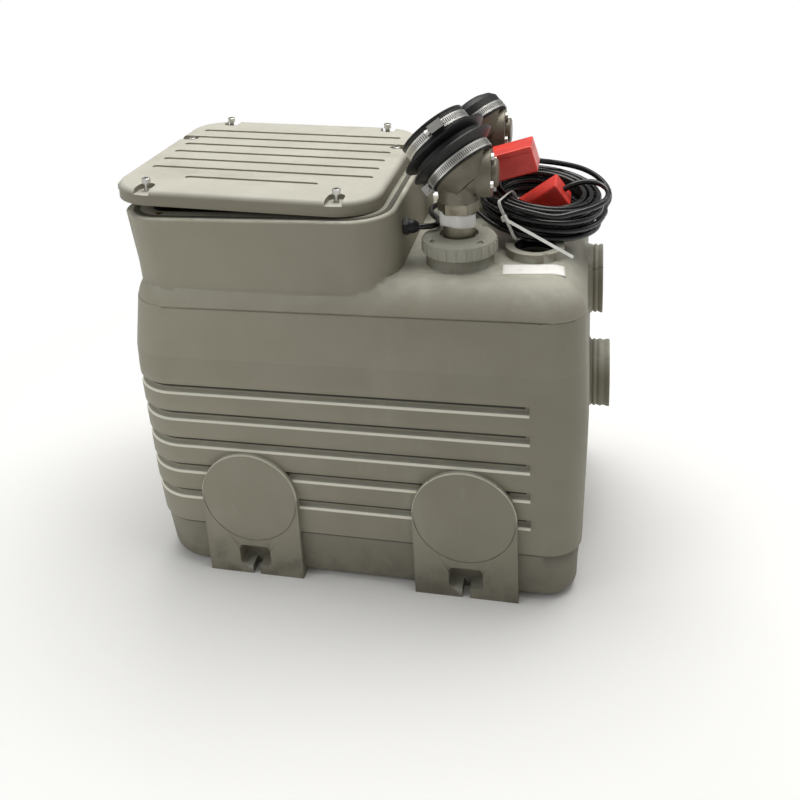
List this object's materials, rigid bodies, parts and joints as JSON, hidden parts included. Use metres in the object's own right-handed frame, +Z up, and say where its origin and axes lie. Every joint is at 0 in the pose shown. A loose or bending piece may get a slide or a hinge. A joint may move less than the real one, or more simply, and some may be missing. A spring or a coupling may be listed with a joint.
{
  "type": "sewage lifting station",
  "caption": "Twin pump sewage lifting station: ribbed plastic tank with a raised access box, loose lid, union nuts, leaning ball check valves and coiled pump leads.",
  "frame": {"origin": "on the floor, at the middle of the tank's footprint", "axes": "+X along the tank towards the two side inlets, -Y towards the side the picture shows, +Z up"},
  "size_m": [0.7647, 0.48, 0.7549],
  "materials": {
    "black_plastic": "black moulded plastic",
    "steel": "stainless steel, brushed",
    "white_plastic": "white plastic",
    "red_box": "red moulded plastic, semi-gloss, bare",
    "rubber": "black rubber, semi-matt",
    "pipe": "grey pressure pipe",
    "float": "orange moulded float",
    "cable": "black cable sheath",
    "nipple": "dull metal with light scratches",
    "nut": "grey moulded plastic, matt",
    "pump_cast": "dark coated cast iron",
    "pump_can": "stainless steel can",
    "valve": "grey-brown coated casting",
    "lid": "light grey moulded polyethylene, satin",
    "brass": "machined brass",
    "tank": "speckled warm grey rotomoulded polyethylene, satin"
  },
  "bodies": {
    "station": {"cable_glands": "black_plastic", "clamp_screws": "steel", "coil_tie": "white_plastic", "cover_bolts": "steel", "front_clamps": "steel", "front_control_box": "red_box", "front_coupling": "rubber", "front_elbow": "pipe", "front_float_bracket": "black_plastic", "front_inner_lead": "cable", "front_lead": "cable", "front_lead_coil": "cable", "front_lead_end": "cable", "front_nipple": "nipple", "front_outlet_tail": "nut", "front_pump_foot": "pump_cast", "front_pump_handle": "steel", "front_pump_motor": "pump_can", "front_pump_top": "pump_cast", "front_pump_volute": "pump_cast", "front_riser_pipe": "pipe", "front_valve_body": "valve", "front_valve_cover": "valve", "lid_gasket": "rubber", "outlet_seals": "rubber", "rear_clamps": "steel", "rear_control_box": "red_box", "rear_elbow": "pipe", "rear_float_bracket": "black_plastic", "rear_inner_lead": "cable", "rear_lead": "cable", "rear_lead_coil": "cable", "rear_lead_end": "cable", "rear_nipple": "nipple", "rear_outlet_cap": "rubber", "rear_outlet_tail": "nut", "rear_pump_foot": "pump_cast", "rear_pump_handle": "steel", "rear_pump_motor": "pump_can", "rear_pump_top": "pump_cast", "rear_pump_volute": "pump_cast", "rear_riser_pipe": "pipe", "rear_valve_body": "valve", "rear_valve_cover": "valve", "rim_inserts": "brass", "tank_shell": "tank", "vent_seal": "rubber"},
    "lid": {"lid": "lid", "lid_screws": "steel"},
    "front_nut": {"front_outlet_nut": "nut"},
    "front_ball": {"front_valve_ball": "rubber"},
    "front_rotor": {"front_pump_impeller": "pump_cast", "front_pump_shaft": "steel"},
    "front_float": {"front_float_switch": "float"},
    "rear_nut": {"rear_outlet_nut": "nut"},
    "rear_ball": {"rear_valve_ball": "rubber"},
    "rear_rotor": {"rear_pump_impeller": "pump_cast", "rear_pump_shaft": "steel"},
    "rear_float": {"rear_float_switch": "float"}
  },
  "joints": [
    {"name": "lid_lift", "type": "slide", "parent": "station", "child": "lid", "axis": [0, 0, 1], "range_m": [0, 0.3]},
    {"name": "front_nut_turn", "type": "hinge", "parent": "station", "child": "front_nut", "pos_m": [0.164, -0.122, 0.55], "axis": [0, 0, 1], "continuous": true},
    {"name": "front_ball_lift", "type": "slide", "parent": "station", "child": "front_ball", "axis": [0.5736, 0, 0.8192], "range_m": [0, 0.02]},
    {"name": "front_rotor_spin", "type": "hinge", "parent": "station", "child": "front_rotor", "pos_m": [0.012, -0.122, 0.12], "axis": [0, 0, 1], "continuous": true},
    {"name": "front_float_swing", "type": "hinge", "parent": "station", "child": "front_float", "pos_m": [-0.1, -0.122, 0.3], "axis": [0, 1, 0], "range_deg": [0, 105]},
    {"name": "rear_nut_turn", "type": "hinge", "parent": "station", "child": "rear_nut", "pos_m": [0.164, 0.122, 0.55], "axis": [0, 0, 1], "continuous": true},
    {"name": "rear_ball_lift", "type": "slide", "parent": "station", "child": "rear_ball", "axis": [0.5736, 0, 0.8192], "range_m": [0, 0.02]},
    {"name": "rear_rotor_spin", "type": "hinge", "parent": "station", "child": "rear_rotor", "pos_m": [0.012, 0.122, 0.12], "axis": [0, 0, 1], "continuous": true},
    {"name": "rear_float_swing", "type": "hinge", "parent": "station", "child": "rear_float", "pos_m": [-0.1, 0.122, 0.3], "axis": [0, 1, 0], "range_deg": [0, 105]}
  ]
}
